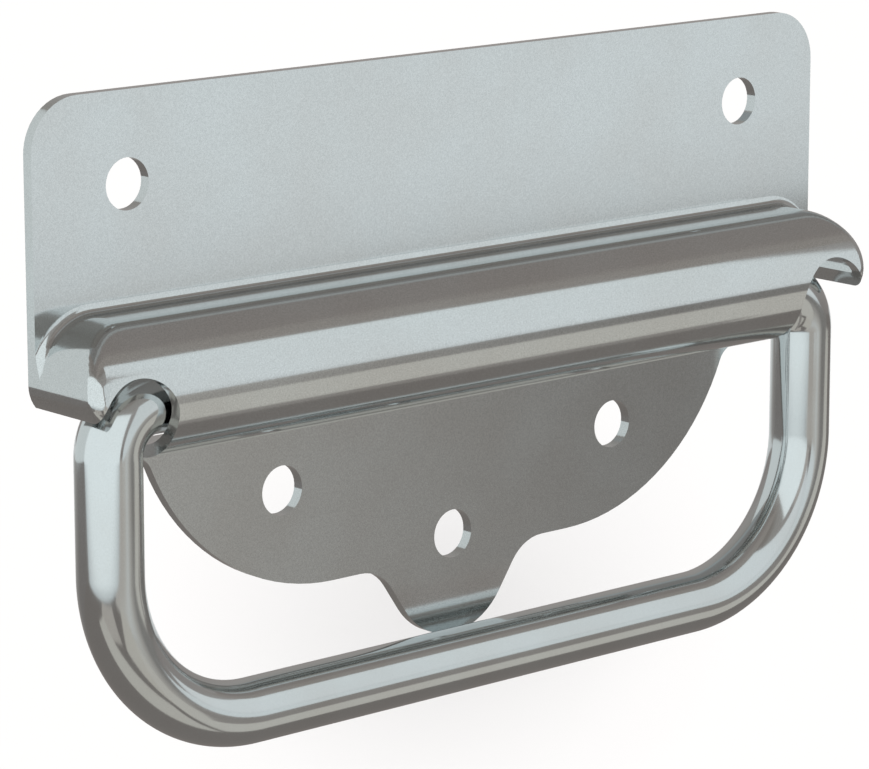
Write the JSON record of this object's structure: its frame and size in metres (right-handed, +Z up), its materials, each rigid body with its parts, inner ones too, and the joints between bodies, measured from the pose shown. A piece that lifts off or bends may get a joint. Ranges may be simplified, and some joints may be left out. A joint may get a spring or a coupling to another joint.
{
  "type": "chest handle",
  "caption": "Surface-mounted drop handle: a pressed sheet plate with a hollow hood and a lobed lower flange, carrying a round-bar bail that swings out to grip.",
  "frame": {"origin": "midway between the two upper screw holes, on the mounting (back) face of the plate", "axes": "+X to the right along the handle, the mounting face looks to +Y and the front to -Y, +Z up towards the upper flange"},
  "size_m": [0.127, 0.0129, 0.0796],
  "materials": {
    "plated_sheet": "bright zinc plated, glossy",
    "plated_bar": "bright zinc plated, glossy"
  },
  "bodies": {
    "plate": {"back_plate": "plated_sheet"},
    "bail": {"bail": "plated_bar"}
  },
  "joints": [
    {"name": "bail_swing", "type": "hinge", "parent": "plate", "child": "bail", "pos_m": [0, -0.0066, -0.0245], "axis": [-1, 0, 0], "range_deg": [0, 90]}
  ]
}
